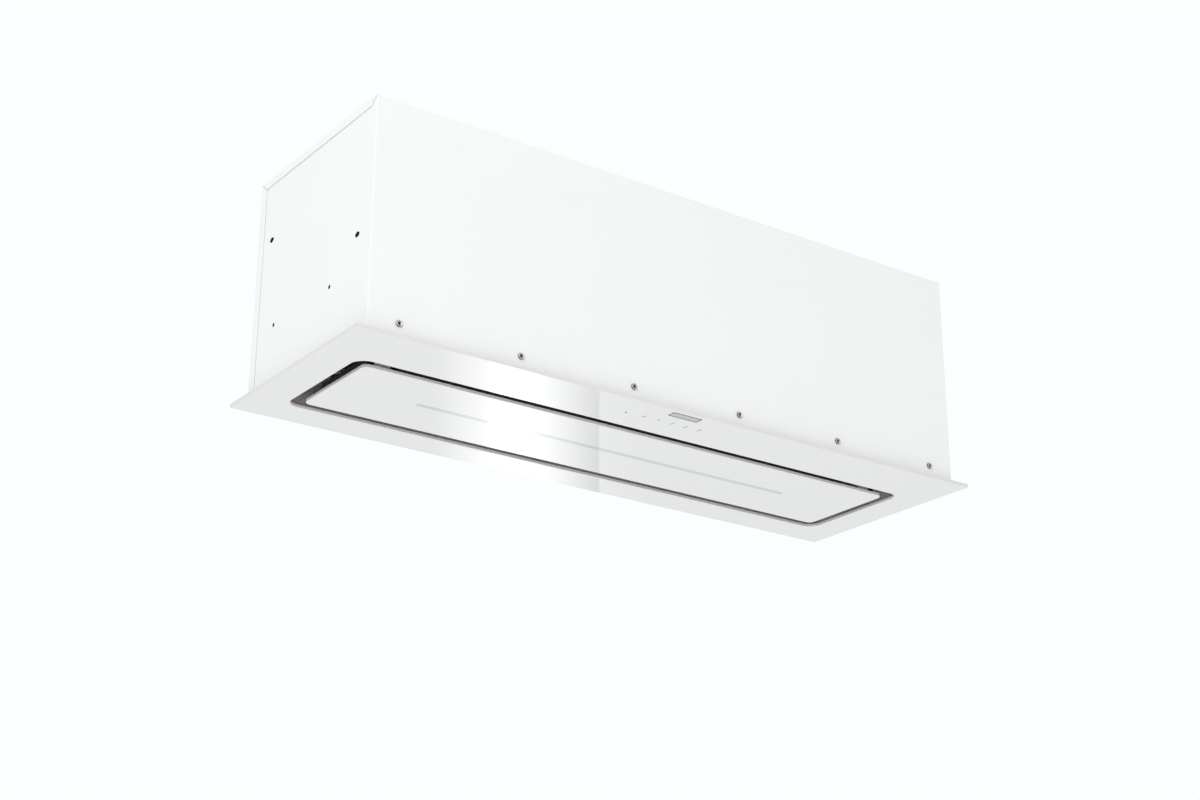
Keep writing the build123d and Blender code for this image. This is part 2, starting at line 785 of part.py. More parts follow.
def impeller():
    """Double-inlet wheel: a centre disc between two rows of forward-curved blades with end rings."""
    root = impeller_radius - blade_depth + blade_ring_inset
    tip = impeller_radius - blade_ring_inset - blade_sheet
    line = Polyline((root, 0), (root + blade_bend[0], blade_bend[1]), (tip, blade_lean))
    blade = extrude(trace(line, blade_sheet), wheel_half_width - wheel_ring)
    blades = [Rot(0, 0, i * 360 / blade_count) * blade for i in range(blade_count)]
    plate = bar(impeller_radius, wheel_disc / 2, round_sides)
    band = bar(impeller_radius, wheel_ring, round_sides) - bar(inlet_radius, wheel_ring, round_sides)
    half = one(plate, Pos(0, 0, wheel_half_width - wheel_ring) * band, *blades)
    hub = bar(hub_radius, hub_length, round_sides // 2)
    wheel = one(half, mirror(half, about=Plane.XY), hub)
    return about_shaft(0, wheel - Pos(0, 0, -past) * pin_hole(shaft_radius, 2 * hub_length))


def motor_shaft():
    return along_x(shaft_radius, -motor_front - shaft_in_motor, hub_length + shaft_past_hub,
                   shaft_y, shaft_z, pin_sides)


def motor():
    """Closed motor inside the left half of the wheel, bored for its shaft."""
    sides = round_sides // 2
    can = along_x(motor_radius, -bracket_x, -motor_front - motor_nose, shaft_y, shaft_z, sides)
    can = chamfer(can.faces().sort_by(Axis.X)[-1].edges(), motor_edge)
    nose = along_x(hub_radius, -motor_front - motor_nose - past, -motor_front, shaft_y, shaft_z, sides)
    depth = shaft_in_motor + shaft_end_gap
    bore = Pos(0, shaft_y, shaft_z) * across(-motor_front - depth, pin_hole(shaft_radius + shaft_play, depth))
    return one(can, nose) - bore


def arm_angles():
    return [45 + i * 360 / motor_arm_count for i in range(motor_arm_count)]


def motor_bracket():
    """Flat spider that carries the motor across the left inlet."""
    face = RegularPolygon(motor_radius - bracket_inset, round_sides // 2)
    length = grommet_circle + motor_arm_width / 2
    for angle in arm_angles():
        face += Rot(0, 0, angle) * Pos(length / 2, 0) * Rectangle(length, motor_arm_width)
    face -= RegularPolygon(hub_radius, round_sides // 2)
    return about_shaft(-bracket_x - motor_arm_sheet, extrude(face, motor_arm_sheet))


def motor_grommets():
    """Rubber bushes between the spider and the scroll."""
    bush = bar(grommet_radius, grommet_height, head_sides)
    return [about_shaft(-bracket_x, Rot(0, 0, angle) * Pos(grommet_circle, 0) * bush)
            for angle in arm_angles()]


# ---- Outlet ----
def spigot_screw_places():
    radius = spigot_bore + spigot_wall + spigot_flange / 2
    return [(radius * cos(radians(a)), spigot_y + radius * sin(radians(a))) for a in (45, 135, 225, 315)]


def outlet_spigot():
    """Round collar for the duct, with a ledge inside for the flaps and two bosses for their pin."""
    low = casing_height
    top = casing_height + spigot_height
    collar = upright(spigot_radius, low, top, 0, spigot_y)
    sides = round_sides
    flange = upright(spigot_radius + spigot_flange, low, low + spigot_flange_sheet, 0, spigot_y, sides)
    body = one(collar, flange) - upright(spigot_bore, low, top, 0, spigot_y, sides)
    ledge_low = ledge_z - flap_ledge_sheet
    ledge = upright(spigot_bore, ledge_low, ledge_z, 0, spigot_y, sides)
    ledge -= upright(spigot_bore - flap_ledge, ledge_low, ledge_z, 0, spigot_y, sides)
    half = flap_boss / 2
    boss = slab(spigot_bore - flap_boss_depth, flap_pin_reach, spigot_y - half, spigot_y + half,
                ledge_low, flap_pin_z + half)
    body = one(body, ledge, boss, mirrored(boss))
    for x, y in spigot_screw_places():
        body -= upright(spigot_screw / 2 + screw_hole_play, low, low + spigot_flange_sheet, x, y, shank_sides)
    bore = across(-flap_pin_reach, pin_hole(flap_pin / 2, 2 * flap_pin_reach))
    return body - Pos(0, spigot_y, flap_pin_z) * bore


def spigot_screws():
    top = casing_height + spigot_flange_sheet
    head_top = top + spigot_screw_head_height
    return [
        one(upright(spigot_screw_head / 2, top, head_top, x, y, head_sides),
            upright(spigot_screw / 2, ceiling_z - spigot_screw_reach, top, x, y, shank_sides))
        for x, y in spigot_screw_places()
    ]


def damper_pin():
    return along_x(flap_pin / 2, -flap_pin_reach, flap_pin_reach, spigot_y, flap_pin_z, pin_sides)


def damper_flap(side, knuckles):
    """Half-round flap with two knuckles on the shared pin; side -1 is the front one."""
    radius = spigot_bore - flap_play
    disc = upright(radius, flap_z, flap_z + flap_sheet, 0, spigot_y, round_sides)
    edge = spigot_y + side * flap_gap
    y0, y1 = sorted((edge, edge + side * radius))
    flap = disc & slab(-radius, radius, y0, y1, flap_z, flap_z + flap_sheet)
    half = flap_knuckle_length / 2
    y0, y1 = sorted((spigot_y, edge + side * flap_knuckle_overlap))
    for x in (-knuckles, knuckles):
        web = slab(x - half, x + half, y0, y1, flap_z, flap_z + flap_sheet)
        knuckle = along_x(flap_knuckle / 2, x - half, x + half, spigot_y, flap_pin_z, head_sides)
        flap = one(flap, web, knuckle)
    bore = across(-radius, pin_hole(flap_pin / 2 + hinge_play, 2 * radius))
    return flap - Pos(0, spigot_y, flap_pin_z) * bore


# ---- Electrical pieces ----
def control_block(inset, z0, z1):
    x = control_length / 2 - inset
    y = control_depth / 2 - inset
    return slab(control_x - x, control_x + x, control_y - y, control_y + y, z0, z1)


def control_box():
    """Open-bottomed box under the top cover, with pillars for the circuit board."""
    low = control_bottom + control_wall
    box = control_block(0, low, control_top)
    box -= control_block(control_wall, low, control_top - control_wall)
    x = board_length / 2 - pillar_inset
    y = control_depth / 2 - control_wall - board_margin - pillar_inset
    pillars = [upright(pillar_radius, board_z + board_sheet, control_top - control_wall,
                       board_x + i * x, control_y + j * y, shank_sides)
               for i in (-1, 1) for j in (-1, 1)]
    box = one(box, *pillars)
    roof = control_top - control_wall
    return box - upright(gland_thread, roof, control_top, gland_x, control_y, head_sides)


def control_box_lid():
    low = control_bottom
    lid = control_block(0, low, low + control_wall)
    top = low + 2 * control_wall
    lip = control_block(control_wall + light_fit, low + control_wall, top)
    lip -= control_block(2 * control_wall, low + control_wall, top)
    return one(lid, lip)


def control_board():
    x = board_length / 2
    y = control_depth / 2 - control_wall - board_margin
    return slab(board_x - x, board_x + x, control_y - y, control_y + y, board_z, board_z + board_sheet)


def terminal_block():
    """Terminal strip under the board's outer end."""
    x = board_x + board_length / 2 - terminal_inset - terminal_depth / 2
    low = board_z - terminal_height
    half = terminal_length / 2
    block = slab(x - terminal_depth / 2, x + terminal_depth / 2, control_y - half, control_y + half,
                 low, board_z)
    pitch = terminal_length / terminal_ways
    ways = [upright(pitch / 3, low, low + terminal_height / 2, x, control_y - half + (i + 0.5) * pitch, 4)
            for i in range(terminal_ways)]
    return block - ways


def capacitor():
    """Motor capacitor lying under the board."""
    x = board_x - terminal_depth / 2
    half = capacitor_length / 2
    return along_x(capacitor_radius, x - half, x + half, control_y + control_depth / 4,
                   board_z - capacitor_radius, head_sides)


def led_driver():
    """Moulded lamp driver under the top cover, held by its two ears."""
    x = driver_length / 2
    y = driver_depth / 2
    case = slab(driver_x - x, driver_x + x, driver_y - y, driver_y + y, ceiling_z - driver_height, ceiling_z)
    x += driver_ear
    ears = slab(driver_x - x, driver_x + x, driver_y - y / 2, driver_y + y / 2,
                ceiling_z - driver_ear_sheet, ceiling_z)
    return one(case, ears)


def cable_gland():
    """Screwed cable entry through the top cover into the control box."""
    low = control_top - control_wall - gland_nut
    base = casing_height
    nut = bar(gland_radius, gland_nut, shank_sides)
    thread = bar(gland_thread, base - low, head_sides)
    hexagon = Pos(0, 0, base - low) * bar(gland_radius, gland_hexagon, shank_sides)
    dome = bar(gland_dome, gland_height - gland_hexagon, head_sides)
    dome = chamfer(dome.edges().group_by(Axis.Z)[-1], gland_dome_edge)
    body = one(nut, thread, hexagon, Pos(0, 0, base - low + gland_hexagon) * dome)
    body -= bar(gland_bore, base - low + gland_height)
    return Pos(gland_x, control_y, low) * body


def touch_board():
    """Key board lying on the back of the glass, in the carrier's window."""
    x = touch_length / 2
    y = touch_depth / 2
    board = slab(touch_x - x, touch_x + x, touch_y - y, touch_y + y, 0, board_sheet)
    outer = x - touch_part_inset
    inner = outer - touch_part
    y = touch_part_width / 2
    top = board_sheet
    chip = slab(touch_x + inner, touch_x + outer, touch_y - y, touch_y + y, top, top + touch_chip_height)
    plug = slab(touch_x - outer, touch_x - inner, touch_y - y, touch_y + y, top, top + touch_plug_height)
    return one(board, chip, plug)


def touch_cap():
    """Dust cap over the key board, standing on the carrier."""
    x = touch_length / 2 + touch_frame
    y = touch_depth / 2 + touch_frame
    low = carrier_sheet
    t = touch_cap_wall
    cap = slab(touch_x - x, touch_x + x, touch_y - y, touch_y + y, low, low + touch_cap_height)
    return cap - slab(touch_x - x + t, touch_x + x - t, touch_y - y + t, touch_y + y - t, low,
                      low + touch_cap_height - t)


# ---- Nodes ----
hinge_bracket_right = hinge_bracket()
hinge_arm_right = hinge_arm()
strike_right = strike_plate()
catch_right = magnet_catch()

nodes = {
    "glass_frame": glass_frame(),
    "carrier_frame": carrier_frame(),
    "front_casing": front_casing(),
    "top_rear_cover": top_rear_cover(),
    "casing_screws": casing_screws(),
    "filter_deck": filter_deck(),
    "hinge_bracket_left": mirrored(hinge_bracket_right),
    "hinge_bracket_right": hinge_bracket_right,
    "hinge_pins": hinge_pins(),
    "magnet_catch_left": mirrored(catch_right),
    "magnet_catch_right": catch_right,
    "scroll_left": scroll_half_shell(-1),
    "scroll_right": scroll_half_shell(1),
    "scroll_clips": scroll_clips(),
    "motor": motor(),
    "motor_bracket": motor_bracket(),
    "motor_grommets": motor_grommets(),
    "outlet_spigot": outlet_spigot(),
    "spigot_screws": spigot_screws(),
    "damper_pin": damper_pin(),
    "control_box": control_box(),
    "control_box_lid": control_box_lid(),
    "control_board": control_board(),
    "terminal_block": terminal_block(),
    "capacitor": capacitor(),
    "led_driver": led_driver(),
    "cable_gland": cable_gland(),
    "touch_board": touch_board(),
    "touch_cap": touch_cap(),
    "centre_glass": centre_glass(),
    "panel_tray": panel_tray(),
    "led_diffuser": led_diffuser(),
    "led_profile": led_profile(),
    "led_board": led_board(),
    "hinge_arm_left": mirrored(hinge_arm_right),
    "hinge_arm_right": hinge_arm_right,
    "strike_plate_left": mirrored(strike_right),
    "strike_plate_right": strike_right,
    "impeller": impeller(),
    "motor_shaft": motor_shaft(),
    "damper_flap_front": damper_flap(-1, front_knuckles),
    "damper_flap_rear": damper_flap(1, rear_knuckles),
}
for name, side in (("left", -1), ("right", 1)):
    nodes["filter_frame_" + name] = filter_frame(side)
    nodes["filter_mesh_" + name] = filter_mesh(side)
    nodes["latch_guide_" + name] = latch_guide(side)
    nodes["filter_latch_" + name] = filter_latch(side)

os.makedirs("parts", exist_ok=True)
for name, shape in nodes.items():
    solids = shape if isinstance(shape, list) else [shape]
    group = Compound(children=[solid for piece in solids for solid in piece.solids()])
    export_step(group if len(group.solids()) > 1 else group.solids()[0], f"parts/{name}.step")
print("nodes", len(nodes), "casing height", round(casing_height, 2))
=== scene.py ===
import bmesh
import bpy
import json
import numpy as np
from mathutils import Matrix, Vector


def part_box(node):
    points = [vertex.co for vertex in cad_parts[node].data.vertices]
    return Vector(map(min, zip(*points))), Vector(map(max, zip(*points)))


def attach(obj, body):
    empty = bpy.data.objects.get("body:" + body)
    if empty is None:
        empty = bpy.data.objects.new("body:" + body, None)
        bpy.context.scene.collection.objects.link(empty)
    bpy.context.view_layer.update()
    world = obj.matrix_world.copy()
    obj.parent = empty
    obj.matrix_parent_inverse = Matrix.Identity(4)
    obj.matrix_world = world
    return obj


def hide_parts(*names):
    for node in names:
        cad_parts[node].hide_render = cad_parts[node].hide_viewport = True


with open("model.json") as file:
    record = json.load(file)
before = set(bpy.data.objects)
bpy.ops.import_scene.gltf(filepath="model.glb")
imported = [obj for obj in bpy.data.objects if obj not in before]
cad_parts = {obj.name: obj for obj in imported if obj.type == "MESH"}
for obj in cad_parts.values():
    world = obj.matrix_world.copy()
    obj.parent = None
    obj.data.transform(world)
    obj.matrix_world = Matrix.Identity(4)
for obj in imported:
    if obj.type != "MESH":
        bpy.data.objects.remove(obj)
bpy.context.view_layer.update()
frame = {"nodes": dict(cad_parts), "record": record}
slotOf = {part["node"]: part["material_slot"] for part in frame["record"]["subparts"]}
print("frame loaded:", len(frame["nodes"]), "nodes")


def gridFaces(rows, columns, closeU=False, closeV=False):
    # quads between the neighbours of a grid; where it closes, the last line meets the first
    row = np.arange(rows if closeU else rows - 1)
    column = np.arange(columns if closeV else columns - 1)
    row, column = (part.ravel() for part in np.meshgrid(row, column, indexing="ij"))
    nextRow, nextColumn = (row + 1) % rows, (column + 1) % columns
    corners = ((row, column), (nextRow, column), (nextRow, nextColumn), (row, nextColumn))
    return np.stack([line * columns + place for line, place in corners], 1)


def meshFrom(name, points, faces, smooth=True):
    mesh = bpy.data.meshes.new(name)
    mesh.from_pydata(points.tolist(), [], faces.tolist())
    mesh.validate()
    mesh.polygons.foreach_set("use_smooth", np.full(len(mesh.polygons), smooth))
    mesh.update()
    return mesh


def gridMesh(name, points, closeV=False, smooth=True):
    # points is an array (rows, columns, 3)
    faces = gridFaces(*points.shape[:2], closeV=closeV)
    return meshFrom(name, points.reshape(-1, 3), faces, smooth)


def joined(name, parts, smooth=True):
    # parts are pairs of points and quads; the quads' numbers run on from part to part
    starts = np.cumsum([0] + [len(points) for points, faces in parts[:-1]])
    allPoints = np.concatenate([points for points, faces in parts])
    allFaces = np.concatenate([faces + start for (points, faces), start in zip(parts, starts)])
    return meshFrom(name, allPoints, allFaces, smooth)


def weld(mesh, nearest=0.000001):
    # points in the same place become one, which closes poles and folded-up rings
    shape = bmesh.new()
    shape.from_mesh(mesh)
    bmesh.ops.remove_doubles(shape, verts=shape.verts, dist=nearest)
    shape.to_mesh(mesh)
    shape.free()


def linkObject(name, data):
    item = bpy.data.objects.new(name, data)
    bpy.context.scene.collection.objects.link(item)
    return item


def addPiece(name, mesh, body, material):
    piece = linkObject(name, mesh)
    mesh.materials.append(material)
    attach(piece, body)
    return piece


# shader node groups: each gives masks and heights that change over the surface
def startGroup(name, inputs, outputs):
    group = bpy.data.node_groups.new(name, "ShaderNodeTree")
    group.interface.new_socket("Vector", in_out="INPUT", socket_type="NodeSocketVector")
    for label, value in inputs.items():
        socket = group.interface.new_socket(label, in_out="INPUT", socket_type="NodeSocketFloat")
        socket.default_value = value
    for label in outputs:
        group.interface.new_socket(label, in_out="OUTPUT", socket_type="NodeSocketFloat")
    source = group.nodes.new("NodeGroupInput")
    sink = group.nodes.new("NodeGroupOutput")
    return group, source.outputs, sink.inputs


def feed(tree, value, socket):
    # a number becomes the socket's own value, and anything else is linked to it
    if isinstance(value, (int, float)):
        socket.default_value = value
    else:
        tree.links.new(value, socket)


def mathNode(tree, operation, a, b=0.0):
    node = tree.nodes.new("ShaderNodeMath")
    node.operation = operation
    feed(tree, a, node.inputs[0])
    feed(tree, b, node.inputs[1])
    return node.outputs[0]


def noise(tree, vector, scale, detail=2.0):
    node = tree.nodes.new("ShaderNodeTexNoise")
    node.inputs["Detail"].default_value = detail
    tree.links.new(vector, node.inputs["Vector"])
    feed(tree, scale, node.inputs["Scale"])
    return node.outputs["Fac"]


def splitVector(group, vector):
    split = group.nodes.new("ShaderNodeSeparateXYZ")
    group.links.new(vector, split.inputs[0])
    return split.outputs


grain = {
    "peelSlow": 0.02,          # scale of the slow waviness as a share of the fine grain's
    "brushSlow": 0.03,
    "crystalWobble": 60.0,     # how finely and how far the edges of the zinc crystals wander
    "crystalReach": 0.012,
    "zincFine": 1500.0,
    "meltFlow": 18.0,
}


def makePeel():
    # powder coat: small round bumps over a slow waviness
    group, source, sink = startGroup("coatPeel", {"Scale": 900.0, "Wave": 0.3}, ["Height", "Mask"])
    fine = noise(group, source["Vector"], source["Scale"], 1.0)
    slow = noise(group, source["Vector"], mathNode(group, "MULTIPLY", source["Scale"], grain["peelSlow"]))
    waved = mathNode(group, "MULTIPLY", slow, source["Wave"])
    feed(group, mathNode(group, "ADD", fine, waved), sink["Height"])
    feed(group, slow, sink["Mask"])
    return group


def makeBrush():
    # brushed metal: noise stretched along X
    group, source, sink = startGroup("brushGrain", {"Scale": 400.0, "Stretch": 0.02}, ["Height", "Mask"])
    stretch = group.nodes.new("ShaderNodeCombineXYZ")
    for socket, value in zip(stretch.inputs, (source["Stretch"], 1.0, 1.0)):
        feed(group, value, socket)
    scaled = group.nodes.new("ShaderNodeVectorMath")
    scaled.operation = "MULTIPLY"
    feed(group, source["Vector"], scaled.inputs[0])
    feed(group, stretch.outputs[0], scaled.inputs[1])
    slowScale = mathNode(group, "MULTIPLY", source["Scale"], grain["brushSlow"])
    feed(group, noise(group, scaled.outputs[0], source["Scale"], 3.0), sink["Height"])
    feed(group, noise(group, source["Vector"], slowScale), sink["Mask"])
    return group


def makeSpangle():
    # zinc-coated sheet: flat crystals of differing brightness
    group, source, sink = startGroup("zincSpangle", {"Scale": 90.0, "Spread": 1.0}, ["Cell", "Height"])
    wobble = group.nodes.new("ShaderNodeTexNoise")
    wobble.inputs["Scale"].default_value = grain["crystalWobble"]
    feed(group, source["Vector"], wobble.inputs["Vector"])
    warp = group.nodes.new("ShaderNodeVectorMath")
    warp.operation = "MULTIPLY_ADD"
    warp.inputs[1].default_value = (grain["crystalReach"],) * 3
    feed(group, wobble.outputs["Color"], warp.inputs[0])
    feed(group, source["Vector"], warp.inputs[2])
    cells = group.nodes.new("ShaderNodeTexVoronoi")
    feed(group, warp.outputs[0], cells.inputs["Vector"])
    feed(group, source["Scale"], cells.inputs["Scale"])
    tone = group.nodes.new("ShaderNodeSeparateColor")
    feed(group, cells.outputs["Color"], tone.inputs[0])
    centred = mathNode(group, "SUBTRACT", tone.outputs[0], 0.5)
    spread = mathNode(group, "MULTIPLY", centred, source["Spread"])
    feed(group, mathNode(group, "ADD", spread, 0.5), sink["Cell"])
    feed(group, noise(group, source["Vector"], grain["zincFine"], 1.0), sink["Height"])
    return group


def makeMould():
    # moulded plastic: fine grain, and a faint flow of the melt
    group, source, sink = startGroup("mouldGrain", {"Scale": 1400.0, "Flow": 0.4}, ["Height", "Mask"])
    flow = noise(group, source["Vector"], grain["meltFlow"], 3.0)
    feed(group, noise(group, source["Vector"], source["Scale"]), sink["Height"])
    feed(group, mathNode(group, "MULTIPLY", flow, source["Flow"]), sink["Mask"])
    return group


def makeHoleMask():
    # 1 within a radius of a line along X through a place: the rim of a hole in an end wall, where the
    # hole's painted shade goes;
    # Stretch makes it an oval, longer along Y
    inputs = {"PlaceY": 0.0, "PlaceZ": 0.0, "Radius": 0.001, "Stretch": 1.0}
    group, source, sink = startGroup("holeMask", inputs, ["Mask"])
    split = splitVector(group, source["Vector"])
    y = mathNode(group, "SUBTRACT", split["Y"], source["PlaceY"])
    y = mathNode(group, "DIVIDE", y, source["Stretch"])
    z = mathNode(group, "SUBTRACT", split["Z"], source["PlaceZ"])
    squares = mathNode(group, "ADD", mathNode(group, "MULTIPLY", y, y), mathNode(group, "MULTIPLY", z, z))
    reach = mathNode(group, "SQRT", squares)
    feed(group, mathNode(group, "LESS_THAN", reach, source["Radius"]), sink["Mask"])
    return group


def makeOuterMask():
    # 1 outside a rectangle centred on the origin: the outermost edge of the frame
    group, source, sink = startGroup("outerMask", {"HalfX": 0.44, "HalfY": 0.14}, ["Mask"])
    split = splitVector(group, source["Vector"])
    x, y = (mathNode(group, "ABSOLUTE", split[axis]) for axis in ("X", "Y"))
    pastX = mathNode(group, "GREATER_THAN", x, source["HalfX"])
    pastY = mathNode(group, "GREATER_THAN", y, source["HalfY"])
    feed(group, mathNode(group, "MAXIMUM", pastX, pastY), sink["Mask"])
    return group


def makeSideMask():
    # 1 where a surface stands upright, 0 where it lies flat: the ground edge of a pane;
    # Back is 1 on its upper side
    group, source, sink = startGroup("uprightMask", {"Sharpness": 4.0}, ["Mask", "Back"])
    split = splitVector(group, source["Vector"])
    upright = mathNode(group, "SUBTRACT", 1.0, mathNode(group, "ABSOLUTE", split["Z"]))
    steep = group.nodes.new("ShaderNodeClamp")
    feed(group, mathNode(group, "MULTIPLY", upright, source["Sharpness"]), steep.inputs[0])
    feed(group, steep.outputs[0], sink["Mask"])
    feed(group, mathNode(group, "GREATER_THAN", split["Z"], 0.5), sink["Back"])
    return group


def makeBendMask():
    # 1 where an upright surface faces halfway between X and Y, 0 where it faces along either
    group, source, sink = startGroup("bendMask", {"Strength": 4.0}, ["Mask"])
    split = splitVector(group, source["Vector"])
    across = mathNode(group, "MULTIPLY", split["X"], split["Y"])
    square = mathNode(group, "MULTIPLY", across, across)
    feed(group, mathNode(group, "MULTIPLY", square, source["Strength"]), sink["Mask"])
    return group


groups = {"peel": makePeel(), "brush": makeBrush(), "spangle": makeSpangle(), "mould": makeMould(),
          "side": makeSideMask(), "hole": makeHoleMask(), "outer": makeOuterMask(), "bend": makeBendMask()}
print("shader groups made:", len(groups))


# materials: the shader stands in the material, and groups feed its sockets
def newMaterial(name, color, roughness, **sockets):
    material = bpy.data.materials.new(name)
    material.use_nodes = True
    shader = material.node_tree.nodes["Principled BSDF"]
    shader.inputs["Base Color"].default_value = (*color, 1.0)
    shader.inputs["Roughness"].default_value = roughness
    for label, value in sockets.items():
        shader.inputs[label].default_value = value
    return material, material.node_tree, shader


def useGroup(tree, kind, vectorOutput="Object", **values):
    coords = tree.nodes.new("ShaderNodeTexCoord")
    node = tree.nodes.new("ShaderNodeGroup")
    node.node_tree = groups[kind]
    tree.links.new(coords.outputs[vectorOutput], node.inputs["Vector"])
    for label, value in values.items():
        node.inputs[label].default_value = value
    return node.outputs


def addBump(tree, shader, height, distance):
    bump = tree.nodes.new("ShaderNodeBump")
    bump.inputs["Distance"].default_value = distance
    bump.inputs["Strength"].default_value = 1.0
    tree.links.new(height, bump.inputs["Height"])
    tree.links.new(bump.outputs[0], shader.inputs["Normal"])


def mixColor(tree, shader, mask, color):
    # the base colour turns to this one where the mask is 1; the socket of the other is returned
    mix = tree.nodes.new("ShaderNodeMix")
    mix.data_type = "RGBA"
    mix.inputs["B"].default_value = (*color, 1.0)
    tree.links.new(mask, mix.inputs["Factor"])
    tree.links.new(mix.outputs["Result"], shader.inputs["Base Color"])
    return mix.inputs["A"]


def blendColor(tree, shader, mask, low, high):
    mixColor(tree, shader, mask, high).default_value = (*low, 1.0)


def overlayColor(tree, shader, mask, color):
    # lays a colour over the present base colour where the mask is 1
    present = shader.inputs["Base Color"].links[0].from_socket
    tree.links.new(present, mixColor(tree, shader, mask, color))


def blendRoughness(tree, shader, mask, low, high):
    spread = tree.nodes.new("ShaderNodeMapRange")
    spread.inputs["To Min"].default_value = low
    spread.inputs["To Max"].default_value = high
    tree.links.new(mask, spread.inputs["Value"])
    tree.links.new(spread.outputs[0], shader.inputs["Roughness"])


def shade(color, factor):
    return tuple(min(1.0, channel * factor) for channel in color)


# each finish: its group, the outputs that drive tone and gloss with their least and greatest share,
# the bump's depth in metres and how metallic it is
grainedFinishes = {
    "coat": {"group": "peel", "tone": ("Mask", 0.985, 1.01), "gloss": ("Mask", 0.85, 1.15),
             "bump": 0.00002, "metallic": 0.0},
    "brushed": {"group": "brush", "tone": ("Height", 0.86, 1.08), "gloss": ("Mask", 0.75, 1.3),
                "bump": 0.00002, "metallic": 1.0},
    "zinc": {"group": "spangle", "tone": ("Cell", 0.8, 1.12), "gloss": ("Cell", 0.7, 1.3),
             "bump": 0.00001, "metallic": 0.45},
    "moulded": {"group": "mould", "tone": ("Mask", 0.9, 1.15), "gloss": ("Height", 0.85, 1.15),
                "bump": 0.00002, "metallic": 0.0},
}
screwGrain = {"Scale": 900.0, "Stretch": 1.0}      # small pressed parts have a round grain


def grained(name, kind, color, roughness, bump=None, **values):
    # tone, gloss and height all follow one grain
    finish = grainedFinishes[kind]
    material, tree, shader = newMaterial(name, color, roughness, Metallic=finish["metallic"])
    surface = useGroup(tree, finish["group"], **values)
    mask, low, high = finish["tone"]
    blendColor(tree, shader, surface[mask], shade(color, low), shade(color, high))
    mask, low, high = finish["gloss"]
    blendRoughness(tree, shader, surface[mask], roughness * low, roughness * high)
    addBump(tree, shader, surface["Height"], finish["bump"] if bump is None else bump)
    return material


whiteGlass = {
    "face": (0.791, 0.796, 0.796),     # white enamel seen through clear glass
    "edge": (0.84, 0.84, 0.835),       # ground edge, painted lighter: painted light on the edges in the shaded gaps
    "outerEdge": (0.70, 0.70, 0.70),   # the same ground edge on the frame's outermost edge, without that painted light
    # painted shade on the frame's outer corners, which dulls the highlight they catch
    "outerCornerShade": (0.56, 0.56, 0.56),
    "back": (0.45, 0.45, 0.45),        # back of the paint
    "roughness": 0.03,
    "edgeRoughness": 0.35,
    "wave": 0.000002,                  # slow waviness of float glass
    "waveScale": 14.0,
}


def backPaintedGlass(name):
    material, tree, shader = newMaterial(name, whiteGlass["face"], whiteGlass["roughness"], IOR=1.5)
    side = useGroup(tree, "side", "Normal")
    # the edges in the gaps are painted lighter than the frame's outermost edge: painted light
    blendColor(tree, shader, side["Mask"], whiteGlass["face"], whiteGlass["edge"])
    rim = mathNode(tree, "MULTIPLY", useGroup(tree, "outer")["Mask"], side["Mask"])
    overlayColor(tree, shader, rim, whiteGlass["outerEdge"])
    # painted shade on the outer corners
    corner = mathNode(tree, "MULTIPLY", rim, useGroup(tree, "bend", "Normal")["Mask"])
    overlayColor(tree, shader, corner, whiteGlass["outerCornerShade"])
    overlayColor(tree, shader, side["Back"], whiteGlass["back"])
    blendRoughness(tree, shader, side["Mask"], whiteGlass["roughness"], whiteGlass["edgeRoughness"])
    coords = tree.nodes.new("ShaderNodeTexCoord")
    wave = noise(tree, coords.outputs["Object"], whiteGlass["waveScale"], 1.0)
    addBump(tree, shader, wave, whiteGlass["wave"])
    return material


casingWhite = {
    "color": (0.87, 0.885, 0.88),
    "roughness": 0.42,
    "specular": 0.2,
    "bendShade": 0.93,                  # painted shade: the coat is a little darker where the sheet bends, which dulls the highlight on the bend
    # painted shade in and round the holes, standing in for their shaded insides
    "holeShadeColor": (0.02, 0.02, 0.02),
    "holeShades": (                          # radius, stretch, side, distance in from the wall's end, height
        (0.0033, 1.5, -1, 0.031, 0.124),
        (0.0025, 1.0, -1, 0.090, 0.0825),
        (0.0033, 1.5, 1, 0.033, 0.199),
        (0.0025, 1.0, 1, 0.052, 0.083),
    ),
}


def casingCoat(name):
    # the white coat, with painted shade: the rims of the cable and fixing holes, and a ring round each,
    # are dark like the shaded inside of a hole
    material = grained(name, "coat", casingWhite["color"], casingWhite["roughness"])
    tree = material.node_tree
    shader = tree.nodes["Principled BSDF"]
    shader.inputs["Specular IOR Level"].default_value = casingWhite["specular"]
    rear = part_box("top_rear_cover")[1].y
    holeShades = 0.0
    for radius, stretch, side, inward, height in casingWhite["holeShades"]:
        place = side * (rear - inward)
        hole = useGroup(tree, "hole", PlaceY=place, PlaceZ=height, Radius=radius, Stretch=stretch)
        holeShades = mathNode(tree, "MAXIMUM", holeShades, hole["Mask"])
    overlayColor(tree, shader, holeShades, casingWhite["holeShadeColor"])
    # painted shade on the bends, which dulls their highlight
    bend = useGroup(tree, "bend", "Normal")
    overlayColor(tree, shader, bend["Mask"], shade(casingWhite["color"], casingWhite["bendShade"]))
    return material


circuitBoard = {
    "roughness": 0.35,
    "trackScale": 120.0,
    "gap": 0.08,
    "lacquer": (0.015, 0.13, 0.06),
    "lacquerOther": (0.02, 0.17, 0.075),
    "track": (0.06, 0.3, 0.13),
    "bump": 0.00004,
}


